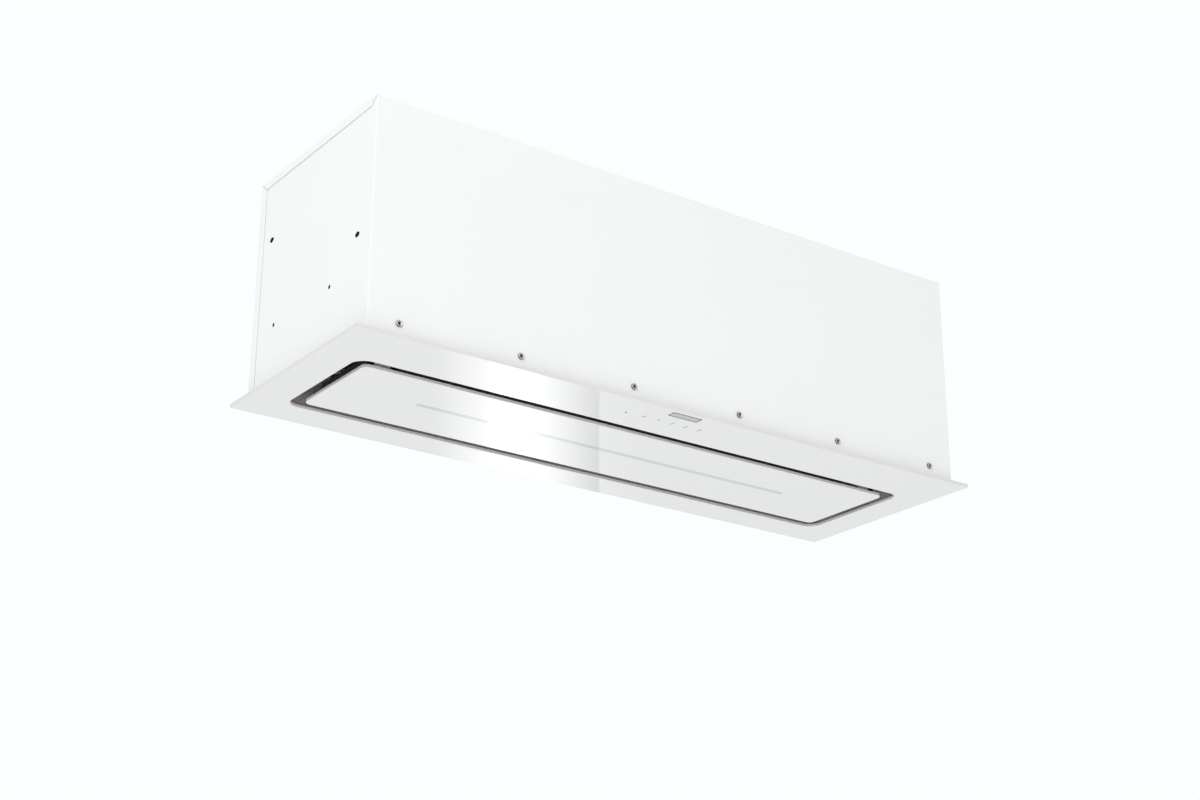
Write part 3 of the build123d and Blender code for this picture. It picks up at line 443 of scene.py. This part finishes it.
def printedBoard(name):
    # lacquer in fields, with copper tracks between them
    material, tree, shader = newMaterial(name, circuitBoard["lacquer"], circuitBoard["roughness"])
    coords = tree.nodes.new("ShaderNodeTexCoord")
    tracks = tree.nodes.new("ShaderNodeTexBrick")
    tracks.inputs["Scale"].default_value = circuitBoard["trackScale"]
    tracks.inputs["Mortar Size"].default_value = circuitBoard["gap"]
    for label, key in (("Color1", "lacquer"), ("Color2", "lacquerOther"), ("Mortar", "track")):
        tracks.inputs[label].default_value = (*circuitBoard[key], 1)
    tree.links.new(coords.outputs["Object"], tracks.inputs["Vector"])
    tree.links.new(tracks.outputs["Color"], shader.inputs["Base Color"])
    addBump(tree, shader, tracks.outputs["Fac"], circuitBoard["bump"])
    return material


finishes = {
    "frame_glass": backPaintedGlass("frameGlass"),
    "panel_glass": backPaintedGlass("panelGlass"),
    "casing_sheet": casingCoat("casingPowderCoat"),
    "carrier_sheet": grained("carrierPowderCoat", "coat", (0.47, 0.425, 0.41), 0.45),
    "zinc_sheet": grained("zincSheet", "zinc", (0.78, 0.78, 0.78), 0.36),
    "screw_steel": grained("screwSteel", "brushed", (0.5, 0.495, 0.49), 0.22, **screwGrain),
    "aluminium": grained("brushedAluminium", "brushed", (0.72, 0.73, 0.74), 0.3),
    "motor_case": grained("motorEnamel", "coat", (0.12, 0.125, 0.135), 0.35),
    "black_plastic": grained("blackPlastic", "moulded", (0.02, 0.02, 0.022), 0.5),
    "grey_plastic": grained("greyPlastic", "moulded", (0.17, 0.175, 0.18), 0.5),
    "white_plastic": grained("whitePlastic", "moulded", (0.72, 0.72, 0.69), 0.45),
    "opal": grained("opalDiffuser", "moulded", (0.7, 0.73, 0.72), 0.35, 0.000005, Scale=700.0),
    "board": printedBoard("circuitBoard"),
    "rubber": grained("rubberBush", "moulded", (0.018, 0.018, 0.018), 0.75, 0.00004, Scale=900.0),
}
# painted shade: the tray and the magnet catches are coloured near black, as the shade in the gap round the
# panel
gapShadeCoat = grained("gapPaintedShade", "coat", (0.075, 0.064, 0.063), 0.5)
brownCoat = grained("platePowderCoat", "coat", (0.2, 0.18, 0.175), 0.5)
meshMetal = grained("meshAluminium", "brushed", (0.4, 0.4, 0.405), 0.35)
nodeFinishes = {"panel_tray": gapShadeCoat, "magnet_catch_left": gapShadeCoat, "magnet_catch_right": gapShadeCoat,
                "strike_plate_left": brownCoat, "strike_plate_right": brownCoat,
                "filter_mesh_left": meshMetal, "filter_mesh_right": meshMetal}
for node, slot in slotOf.items():
    slots = frame["nodes"][node].data.materials
    finish = nodeFinishes.get(node, finishes[slot])
    if len(slots) == 0:
        slots.append(finish)
    for index in range(len(slots)):
        slots[index] = finish
print("materials made:", len(finishes) + len(set(nodeFinishes.values())))


panScrew = {
    "count": 6,                # on each long wall
    "turn": 0.5,               # each is turned this much further than the one before
    "rings": 16,
    "spokes": 48,
    "size": 0.92,              # share of the CAD head's radius
    "domeEnd": 0.97,           # share of the radius at which the upright side begins
    "crown": 0.34,             # share of the head's height that is domed
    "crownPower": 3,
    "recessWidth": 0.0014,     # half width of the cross at the surface
    "recessReach": 0.0028,
    "recessDepth": 0.0017,
    "recessSteep": 3,          # steepness of the recess's sides
    "recessRise": 0.5,         # how much shallower an arm's end is than the middle
    "color": (0.55, 0.54, 0.53),
    "roughness": 0.22,
    # painted shade in the recess and on the upright side
    "recessShadeColor": (0.03, 0.022, 0.022),
    "shadeDepth": 0.3,         # share of the recess's depth at which it is all dark
    "shadeRings": 13,          # rings from the middle that the recess can darken
    "wallShade": 0.75,         # how dark the upright side is, from 0 to the recess's 1
}


def screwHead(radius, height):
    # a round head: distance and angle from the axis; the height is a dome, less a cross-shaped recess
    # that is deepest at the middle, and the rim drops straight to the seat
    share = np.linspace(0, 1, panScrew["rings"])
    angle = np.linspace(0, 2 * np.pi, panScrew["spokes"], endpoint=False)
    ring = np.concatenate([share * radius * panScrew["domeEnd"], [radius, radius]])
    r = ring[:, None] + 0 * angle[None]
    dome = height * (1 - panScrew["crown"] * (r / radius) ** panScrew["crownPower"])
    x, y = r * np.cos(angle), r * np.sin(angle)
    arm = np.minimum(np.abs(x), np.abs(y)) / panScrew["recessWidth"]
    reach = np.maximum(np.abs(x), np.abs(y)) / panScrew["recessReach"]
    steep = panScrew["recessSteep"]
    hollow = np.clip((1 - arm) * steep, 0, 1) * np.clip((1 - reach) * steep, 0, 1)
    depth = panScrew["recessDepth"] * (1 - panScrew["recessRise"] * np.clip(reach, 0, 1))
    z = dome - hollow * depth
    z[-1] = 0
    return np.stack([x, y, z], -1)


def recessShade(head, height):
    # how dark the head is at each point: its depth under the dome's edge, up to a full shade
    depth = height * (1 - panScrew["crown"]) - head[..., 2]
    dark = np.clip(depth / (panScrew["shadeDepth"] * panScrew["recessDepth"]), 0, 1)
    dark[panScrew["shadeRings"]:] = 0
    dark[panScrew["rings"]:] = panScrew["wallShade"]
    return dark


def recessedSteel(name):
    # a screw head with painted shade: the deeper the recess, the darker, and the upright side is darkened
    # too
    material = grained(name, "brushed", panScrew["color"], panScrew["roughness"], **screwGrain)
    tree = material.node_tree
    depth = tree.nodes.new("ShaderNodeAttribute")
    depth.attribute_name = "hollow"
    overlayColor(tree, tree.nodes["Principled BSDF"], depth.outputs["Fac"], panScrew["recessShadeColor"])
    return material


def placedHead(head, centre, across, up, out):
    return head.reshape(-1, 3) @ np.array([across, up, out], float) + np.array(centre)


def buildCasingScrews():
    low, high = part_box("casing_screws")
    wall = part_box("front_casing")[0].y
    radius = (high.z - low.z) / 2
    height = wall - low.y
    z = (low.z + high.z) / 2
    head = screwHead(radius * panScrew["size"], height)
    faces = gridFaces(*head.shape[:2], closeV=True)
    parts = []
    for index, x in enumerate(np.linspace(low.x + radius, high.x - radius, panScrew["count"])):
        turn = panScrew["turn"] * index
        across = np.array([np.cos(turn), 0, np.sin(turn)])
        up = (-np.sin(turn), 0, np.cos(turn))
        parts.append((placedHead(head, (x, wall, z), across, up, (0, -1, 0)), faces))
        parts.append((placedHead(head, (x, -wall, z), -across, up, (0, 1, 0)), faces))
    mesh = joined("casingScrewHeads", parts)
    # each point's painted shade, carried by the hollow attribute
    layer = mesh.attributes.new("hollow", "FLOAT", "POINT")
    layer.data.foreach_set("value", np.tile(recessShade(head, height).ravel(), len(parts)))
    weld(mesh)
    return addPiece("casingScrewHeads", mesh, "casing", recessedSteel("screwHeadSteel"))


casingScrewHeads = buildCasingScrews()
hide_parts("casing_screws")
print("screws made")


# prints and windows on the panes
inkScreen = {
    "roughness": 0.04,
    "dots": 700.0,             # fineness of the dot screen
    "tone": (0.93, 1.07),
}
lightStrip = {
    "length": 0.554,
    "width": 0.0080,
    "shift": -0.0035,          # from the panel's middle, towards the left
    "offset": -0.0035,         # from the panel's centre line, towards the front
    "round": 0.98,             # radius of its ends as a share of half its width
    "points": 24,              # round half of each end
    "proud": 0.00003,
    "bevel": 0.0003,
    "color": (0.60, 0.632, 0.618),
}
touchMarks = {
    "firstKey": (-0.0694, -0.1100),
    "keys": (-0.043, -0.023, -0.0025, 0.0175, 0.0375),
    "row": -0.112,
    "size": 0.0058,
    "stroke": 0.0011,
    "flat": 0.8,               # share of the stroke's width that is proud of the pane
    "dotRise": 0.45,           # the first key's dot: half its lines' spacing as a share of the stroke
    "dotWidth": 2.4,           # and half their length as a share of that
    "foot": 0.55,              # length of a foot as a share of half the size
    "feet": ((1.7, 0), (0, 0), (1, 1), (1.4, 1), (1, 1)),     # how many feet long, at a bar's two ends
    "proud": 0.00002,
    "color": (0.03, 0.03, 0.032),
}
receiverWindow = {
    "low": (-0.024, -0.1435),
    "high": (0.0185, -0.1305),
    "corner": 0.0015,
    "points": 6,               # round each corner
    "border": 0.0017,
    "proud": 0.00003,
    "bevel": 0.0002,
    "color": (0.50, 0.50, 0.505),
    "borderColor": (0.05, 0.05, 0.052),
}


def glassPrint(name, color):
    # enamel under the same glass: as smooth as the pane, with a fine dot screen in the ink
    material, tree, shader = newMaterial(name, color, inkScreen["roughness"], IOR=1.5)
    coords = tree.nodes.new("ShaderNodeTexCoord")
    ink = noise(tree, coords.outputs["Object"], inkScreen["dots"])
    blendColor(tree, shader, ink, *(shade(color, factor) for factor in inkScreen["tone"]))
    return material


def roundedOutline(halfX, halfY, corner, steps):
    # a rectangle with round corners, walked once round: each corner is a quarter circle
    angle = np.concatenate([np.linspace(quarter, quarter + 1, steps) * np.pi / 2 for quarter in range(4)])
    signX = np.repeat([1, -1, -1, 1], steps)
    signY = np.repeat([1, 1, -1, -1], steps)
    x = signX * (halfX - corner) + corner * np.cos(angle)
    y = signY * (halfY - corner) + corner * np.sin(angle)
    return np.stack([x, y], 1)


def lowPlate(halfX, halfY, corner, steps, centre, top, proud, bevel):
    # a thin plate seen from below: its outline at the pane, drawn in by the bevel where it is proud,
    # then shrunk to a middle line that ends as far from the short sides as from the long ones;
    # the points that meet on that line are welded later
    rings = []
    for inset, drop in ((0, 0), (bevel, proud), (2 * bevel, proud)):
        radius = min(corner - inset / 2, halfY - inset)
        edge = roundedOutline(halfX - inset, halfY - inset, radius, steps)
        rings.append(np.column_stack([edge, np.full(len(edge), top - drop)]))
    middle = rings[-1] * (1, 0, 1)
    middle[:, 0] = np.clip(middle[:, 0], halfY - halfX, halfX - halfY)
    rings.append(middle)
    return np.array(rings) + (*centre, 0)


def addPlate(name, points, body, ink):
    mesh = gridMesh(name, points, closeV=True)
    weld(mesh)
    addPiece(name, mesh, body, ink)


def buildLightStrip():
    low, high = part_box("centre_glass")
    centre = ((low.x + high.x) / 2 + lightStrip["shift"], (low.y + high.y) / 2 + lightStrip["offset"])
    halfY = lightStrip["width"] / 2
    points = lowPlate(lightStrip["length"] / 2, halfY, halfY * lightStrip["round"], lightStrip["points"],
                      centre, low.z, lightStrip["proud"], lightStrip["bevel"])
    addPlate("lightStrip", points, "panel", glassPrint("lightStripOpal", lightStrip["color"]))


def strokePath(path, top):
    # a line with a width: each point of the path is moved to both sides, square to the path
    along = np.gradient(path, axis=0)
    along /= np.linalg.norm(along, axis=1)[:, None]
    side = np.stack([-along[:, 1], along[:, 0]], 1) * touchMarks["stroke"] / 2
    flat, proud = touchMarks["flat"], touchMarks["proud"]
    lines = []
    for share, drop in ((1, 0), (flat, proud), (-flat, proud), (-1, 0)):
        lines.append(np.column_stack([path + share * side, np.full(len(path), top - drop)]))
    grid = np.array(lines).transpose(1, 0, 2)
    return grid.reshape(-1, 3), gridFaces(*grid.shape[:2])


def keyPaths(kind):
    # plain signs: a square dot, then a bar across the frame with a short foot at one end or both
    half = touchMarks["size"] / 2
    if kind == 0:
        rise = touchMarks["stroke"] * touchMarks["dotRise"]
        width = rise * touchMarks["dotWidth"]
        return [np.array([[-width, y], [width, y]]) for y in (-2 * rise, 0, 2 * rise)]
    left, right = (touchMarks["foot"] * half * feet for feet in touchMarks["feet"][kind - 1])
    paths = [np.array([[0, -half], [0, half]])]
    if left > 0:
        paths.append(np.array([[-left, half], [0, half]]))
    if right > 0:
        paths.append(np.array([[0, -half], [right, -half]]))
    return paths


def buildTouchMarks(top):
    places = [touchMarks["firstKey"]] + [(x, touchMarks["row"]) for x in touchMarks["keys"]]
    parts = []
    for kind, centre in enumerate(places):
        parts += [strokePath(path + np.array(centre), top) for path in keyPaths(kind)]
    mesh = joined("touchMarks", parts, smooth=False)
    addPiece("touchMarks", mesh, "casing", glassPrint("touchInk", touchMarks["color"]))


def buildReceiverWindow(top):
    low, high = np.array(receiverWindow["low"]), np.array(receiverWindow["high"])
    centre, half = (low + high) / 2, (high - low) / 2
    proud = receiverWindow["proud"]
    for name, inset, drop, color in (("receiverBorder", 0, proud, "borderColor"),
                                     ("receiverWindow", receiverWindow["border"], 2 * proud, "color")):
        points = lowPlate(*(half - inset), receiverWindow["corner"] - inset / 2, receiverWindow["points"],
                          centre, top, drop, receiverWindow["bevel"])
        addPlate(name, points, "casing", glassPrint(name, receiverWindow[color]))


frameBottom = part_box("glass_frame")[0].z
buildLightStrip()
buildTouchMarks(frameBottom)
buildReceiverWindow(frameBottom)
print("prints and windows made")


# filter pads of expanded metal
filterPad = {
    "cellsX": 34,
    "cellsY": 18,
    "strand": 0.0011,          # half width of a strand
    "thick": 0.0006,
    "swing": 0.9,              # how far a strand swings, as a share of half a cell
    "tilt": 0.4,
    "layers": 2,
    "lift": 1.6,               # height of the first layer over the rim's underside, in waves
    "rim": 0.004,              # plain rim inside the folded channel
    "overlap": 0.8,            # share of the rim at which the strands end
    "wave": 0.0006,            # the pad isn't quite flat
    "bows": 9,                 # half waves along its length
}


def diamondStrands(low, high, z, layer):
    # zigzag strands of expanded metal: each row of strands runs along X and swings by half a cell,
    # against its neighbour's swing, so that two rows meet at every crossing; a strand is a flat ribbon
    # that tilts as it swings
    x = np.linspace(low[0], high[0], 2 * filterPad["cellsX"] + 1)
    pitchY = (high[1] - low[1]) / filterPad["cellsY"]
    bowAngle = filterPad["bows"] * np.pi * (x - low[0]) / (high[0] - low[0])
    faces = gridFaces(len(x), 4, closeV=True)[:, [0, 3, 2, 1]]
    parts = []
    for row in range(filterPad["cellsY"] + 1):
        side = np.where((np.arange(len(x)) + row + layer) % 2 == 0, 0.5, -0.5)
        y = np.clip(low[1] + row * pitchY + side * pitchY * filterPad["swing"], low[1], high[1])
        bow = filterPad["wave"] * np.sin(bowAngle + row)
        tilt = filterPad["tilt"] * filterPad["strand"] * np.sign(side)
        edges = []
        for dy, dz in ((-1, 0), (1, 0), (1, 1), (-1, 1)):
            edgeZ = z + bow + dz * filterPad["thick"] + dy * tilt
            edges.append(np.stack([x, y + dy * filterPad["strand"], edgeZ], 1))
        parts.append((np.array(edges).transpose(1, 0, 2).reshape(-1, 3), faces))
    return parts


def padRim(low, high):
    # flat rim: the outline and the same outline drawn in, at the lower and the upper face
    centre, half = (low[:2] + high[:2]) / 2, (high[:2] - low[:2]) / 2
    rim = filterPad["rim"]
    rings = []
    for inset, z in ((0, low[2]), (rim, low[2]), (rim, high[2]), (0, high[2])):
        edge = np.array([[1, 1], [-1, 1], [-1, -1], [1, -1]]) * (half - inset) + centre
        rings.append(np.column_stack([edge, np.full(4, z)]))
    return np.array(rings).reshape(-1, 3), gridFaces(4, 4, closeU=True, closeV=True)


def buildFilterPad(side):
    node = "filter_mesh_" + side
    name = "filterPad" + side.title()
    low, high = (np.array(corner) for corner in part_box(node))
    start = filterPad["rim"] * filterPad["overlap"]
    room = high[2] - low[2] - 2 * filterPad["wave"] - 2 * filterPad["thick"]
    parts = [padRim(low, high)]
    for layer in range(filterPad["layers"]):
        z = low[2] + filterPad["lift"] * filterPad["wave"] + room * layer / filterPad["layers"]
        parts += diamondStrands(low[:2] + start, high[:2] - start, z, layer)
    mesh = joined(name, parts, smooth=False)
    pad = addPiece(name, mesh, "casing", meshMetal)
    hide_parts(node)


buildFilterPad("left")
buildFilterPad("right")
print("filter pads made")


# stage, light and camera
studio = {
    "floorDrop": 2.2,
    "floorSize": 40.0,
    "floorColor": (0.86, 0.87, 0.87),
    "paperScale": 60.0,
    "paperTone": 1.02,
    "paperRoughness": 0.9,
    "worldColor": (0.97, 0.99, 1.0),
    "skyColor": (0.985, 0.98, 0.98),
    "worldLight": 0.78,
    "keyPlace": (-3.3, -2.9, 1.0),
    "keyTarget": (0, 0, 0.1),
    "keySize": 3.0,
    "keyPower": 76.5,
    "bounceSize": 6.0,
    "bounceHeight": 0.05,      # over the floor
    "bounceShift": 0.5,        # to the right of the hood's middle
    "bounceLean": 0.001,       # it looks up, a hair off the upright, so that its sides have a direction
    "bouncePower": 42.0,
}
reflection = {
    "distance": 5.0,           # from the mirrored camera to the card that the panes reflect
    "low": -2.15,
    "high": 0.4,
    "left": -0.447,            # places along the card are distances from the camera's line of sight
    "right": 0.118,
    "columns": 216,
    "fadeFrom": -0.431,        # the glow climbs from here to a bright band's sharp left end
    "bandFrom": -0.2915,
    "bandTo": -0.245,
    "flankAt": -0.144,
    "edgeAt": -0.001,          # where it has sunk to a dark edge
    "wall": 0.70,              # glow outside all this
    "fade": 1.87,
    "band": 4.6,
    "flank": 1.9,
    "edge": 0.16,
    "spill": 0.21,             # added to the wall's glow just right of the dark edge
    "spillReach": 0.037,
    "brightest": 5.0,
}
photoView = {
    "place": (-1.38947, -1.90034, -0.84353),
    "azimuth": -35.622,
    "elevation": -21.021,
    "roll": 0.191,
    "focal": 2039.15,          # in pixels of the frame
    "frameWidth": 1200,
    "sensor": 36.0,
}


def addFloor():
    half = studio["floorSize"] / 2
    z = -studio["floorDrop"]
    corners = np.array([[-half, -half, z], [half, -half, z], [half, half, z], [-half, half, z]])
    floor = linkObject("floor", meshFrom("floor", corners, np.array([[0, 1, 2, 3]]), False))
    material, tree, shader = newMaterial("floorPaper", studio["floorColor"], studio["paperRoughness"])
    paper = useGroup(tree, "peel", Scale=studio["paperScale"])
    pale = shade(studio["floorColor"], studio["paperTone"])
    blendColor(tree, shader, paper["Mask"], studio["floorColor"], pale)
    floor.data.materials.append(material)


def addWorld():
    # the background that is seen or mirrored is plain and pale, and a softer sky lights the object
    world = bpy.data.worlds.new("studio")
    bpy.context.scene.world = world
    world.use_nodes = True
    tree = world.node_tree
    seen = tree.nodes["Background"]
    seen.inputs["Color"].default_value = (*studio["worldColor"], 1)
    seen.inputs["Strength"].default_value = 1.0
    lit = tree.nodes.new("ShaderNodeBackground")
    lit.inputs["Color"].default_value = (*studio["skyColor"], 1)
    lit.inputs["Strength"].default_value = studio["worldLight"]
    path = tree.nodes.new("ShaderNodeLightPath").outputs
    clear = mathNode(tree, "MAXIMUM", path["Is Camera Ray"], path["Is Transmission Ray"])
    mirrored = mathNode(tree, "MAXIMUM", clear, path["Is Glossy Ray"])
    mix = tree.nodes.new("ShaderNodeMixShader")
    tree.links.new(mirrored, mix.inputs["Fac"])
    tree.links.new(lit.outputs[0], mix.inputs[1])
    tree.links.new(seen.outputs[0], mix.inputs[2])
    tree.links.new(mix.outputs[0], tree.nodes["World Output"].inputs["Surface"])


def sideAndUp(back):
    # the level direction to the right of something that looks against back, and the one square to both
    right = np.cross((0, 0, 1), back)
    right /= np.linalg.norm(right)
    return right, np.cross(back, right)


def standing(right, up, back, place):
    # matrix of an object at place whose own X, Y and Z are right, up and back
    matrix = np.eye(4)
    matrix[:3, :3] = np.stack([right, up, back], 1)
    matrix[:3, 3] = place
    return Matrix(matrix.tolist())


def addLamp(name, power, size, place, target):
    light = bpy.data.lights.new(name, "AREA")
    light.energy = power
    light.size = size
    lamp = linkObject(name, light)
    back = np.array(place, float) - np.array(target, float)
    back /= np.linalg.norm(back)
    lamp.matrix_world = standing(*sideAndUp(back), back, place)
    return lamp


def addLamps():
    addLamp("key", studio["keyPower"], studio["keySize"], studio["keyPlace"], studio["keyTarget"])
    x = studio["bounceShift"]
    under = (x, 0, studio["bounceHeight"] - studio["floorDrop"])
    over = (x, studio["bounceLean"], 0)
    bounce = addLamp("bounce", studio["bouncePower"], studio["bounceSize"], under, over)
    bounce.visible_camera = False
    bounce.visible_glossy = False


def cardGlow(along):
    # the glow runs straight from each named place to the next, with a jump of one column at the band's
    # left end; beyond the dark edge it is the wall's glow and a spill that dies away
    half = (along[1] - along[0]) / 2
    band, edge = reflection["bandFrom"], reflection["edgeAt"]
    places = (reflection["fadeFrom"], band - half, band + half, reflection["bandTo"],
              reflection["flankAt"], edge)
    levels = [reflection[key] for key in ("wall", "fade", "band", "band", "flank", "edge")]
    beyond = reflection["wall"] + reflection["spill"] * np.exp((edge - along) / reflection["spillReach"])
    return np.where(along > edge, beyond, np.interp(along, places, levels))


def addReflectionCard():
    # an upright card that only reflections see, square to the line of sight of the camera mirrored in
    # the plane of the panes
    azimuth = np.radians(photoView["azimuth"])
    ahead = np.array([-np.sin(azimuth), np.cos(azimuth)])
    right = np.array([ahead[1], -ahead[0]])
    along = np.linspace(reflection["left"], reflection["right"], reflection["columns"])
    line = np.array(photoView["place"][:2]) + reflection["distance"] * ahead + along[:, None] * right
    heights = (reflection["low"], reflection["high"])
    points = np.array([np.column_stack([line, np.full(len(line), height)]) for height in heights])
    mesh = gridMesh("reflectionCard", points, smooth=False)
    layer = mesh.attributes.new("glow", "FLOAT", "POINT")
    layer.data.foreach_set("value", np.tile(cardGlow(along) / reflection["brightest"], len(heights)))
    material, tree, shader = newMaterial("cardGlow", (0.0, 0.0, 0.0), 1.0)
    shader.inputs["Emission Strength"].default_value = reflection["brightest"]
    reader = tree.nodes.new("ShaderNodeAttribute")
    reader.attribute_name = "glow"
    tree.links.new(reader.outputs["Fac"], shader.inputs["Emission Color"])
    mesh.materials.append(material)
    card = linkObject("reflectionCard", mesh)
    for ray in ("camera", "diffuse", "shadow", "transmission", "volume_scatter"):
        setattr(card, "visible_" + ray, False)


def addCamera():
    # looks at the hood from the photo's azimuth and elevation, and is rolled about its line of sight
    azimuth, elevation, roll = (np.radians(photoView[key]) for key in ("azimuth", "elevation", "roll"))
    level = np.cos(elevation)
    back = np.array([np.sin(azimuth) * level, -np.cos(azimuth) * level, np.sin(elevation)])
    right, up = sideAndUp(back)
    turnedRight = np.cos(roll) * right + np.sin(roll) * up
    turnedUp = np.cos(roll) * up - np.sin(roll) * right
    lens = bpy.data.cameras.new("photoCamera")
    lens.sensor_width = photoView["sensor"]
    lens.lens = photoView["focal"] / photoView["frameWidth"] * lens.sensor_width
    camera = linkObject("photoCamera", lens)
    camera.matrix_world = standing(turnedRight, turnedUp, back, photoView["place"])
    bpy.context.scene.camera = camera


addFloor()
addWorld()
addLamps()
addReflectionCard()
addCamera()
bpy.context.scene.view_settings.view_transform = "Standard"
print("stage, light and camera made")
